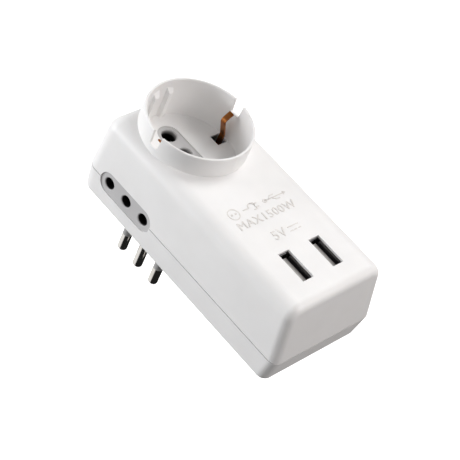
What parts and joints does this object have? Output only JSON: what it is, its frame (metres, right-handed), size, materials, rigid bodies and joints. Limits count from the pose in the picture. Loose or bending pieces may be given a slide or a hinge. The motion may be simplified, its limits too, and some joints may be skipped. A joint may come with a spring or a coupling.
{
  "type": "plug-in mains adapter with USB charging ports",
  "caption": "White plug-in mains adapter with a collared Schuko and Italian socket on top, an Italian socket on each side, and USB-A charging ports.",
  "frame": {"origin": "centre of the earth pin where it leaves the end face of the plug neck", "axes": "+Z out of the collared socket, with the plug pins along -Z; +X towards the USB end; +Y to the left-hand side socket"},
  "size_m": [0.1053, 0.0504, 0.0806],
  "materials": {
    "white_abs": "fine satin moulded ABS",
    "grey_thermoset": "satin moulded",
    "shutter_plastic": "satin moulded",
    "sleeve_plastic": "satin moulded",
    "tongue_plastic": "satin moulded",
    "black_plastic": "satin moulded",
    "nickel_brass": "nickel plated, drawn",
    "contact_brass": "rolled strip",
    "coppered_strap": "copper-plated spring strip",
    "port_steel": "nickel plated, folded",
    "gold_contacts": "gold flash",
    "spring_steel": "drawn wire",
    "zinc_steel": "zinc plated",
    "circuit_board": "solder resist on glass laminate",
    "ferrite": "sintered, ground",
    "yellow_tape": "polyester tape",
    "capacitor_can": "shrunk sleeve",
    "resistor_lacquer": "lacquer",
    "blue_lacquer": "dipped lacquer",
    "brown_wire": "extruded insulation",
    "blue_wire": "extruded insulation"
  },
  "bodies": {
    "case": {"upper_shell": "white_abs", "lower_shell": "white_abs", "case_screws": "zinc_steel", "top_socket_insert": "grey_thermoset", "right_socket_insert": "grey_thermoset", "left_socket_insert": "grey_thermoset", "live_pin": "nickel_brass", "neutral_pin": "nickel_brass", "earth_pin": "nickel_brass", "live_pin_sleeve": "sleeve_plastic", "neutral_pin_sleeve": "sleeve_plastic", "pin_carrier": "grey_thermoset", "live_busbar": "contact_brass", "neutral_busbar": "contact_brass", "earth_busbar": "contact_brass", "earth_clip": "coppered_strap", "charger_board": "circuit_board", "usb_board": "circuit_board", "board_headers": "black_plastic", "transformer_core": "ferrite", "transformer_winding": "yellow_tape", "input_capacitor": "capacitor_can", "output_capacitors": "capacitor_can", "bridge_rectifier": "black_plastic", "controller_chip": "black_plastic", "optocoupler": "black_plastic", "fuse_resistor": "resistor_lacquer", "suppression_capacitor": "blue_lacquer", "live_wire": "brown_wire", "neutral_wire": "blue_wire", "right_usb_shell": "port_steel", "left_usb_shell": "port_steel", "right_usb_tongue": "tongue_plastic", "left_usb_tongue": "tongue_plastic", "right_usb_contacts": "gold_contacts", "left_usb_contacts": "gold_contacts"},
    "top_shutter_body": {"top_shutter": "shutter_plastic", "top_shutter_spring": "spring_steel"},
    "left_shutter_body": {"left_shutter": "shutter_plastic", "left_shutter_spring": "spring_steel"},
    "right_shutter_body": {"right_shutter": "shutter_plastic", "right_shutter_spring": "spring_steel"}
  },
  "joints": [
    {"name": "top_shutter_turn", "type": "hinge", "parent": "case", "child": "top_shutter_body", "pos_m": [0, 0, 0.0371], "axis": [0, 0, 1], "range_deg": [0, 38], "stiffness_Nm_per_rad": 0.002, "springref_deg": -20.05},
    {"name": "left_shutter_lift", "type": "slide", "parent": "case", "child": "left_shutter_body", "axis": [0, 0, 1], "range_m": [0, 0.0053], "stiffness_N_per_m": 60, "springref_m": -0.002, "deforming": ["left_shutter_spring"]},
    {"name": "right_shutter_lift", "type": "slide", "parent": "case", "child": "right_shutter_body", "axis": [0, 0, 1], "range_m": [0, 0.0053], "stiffness_N_per_m": 60, "springref_m": -0.002, "deforming": ["right_shutter_spring"]}
  ]
}
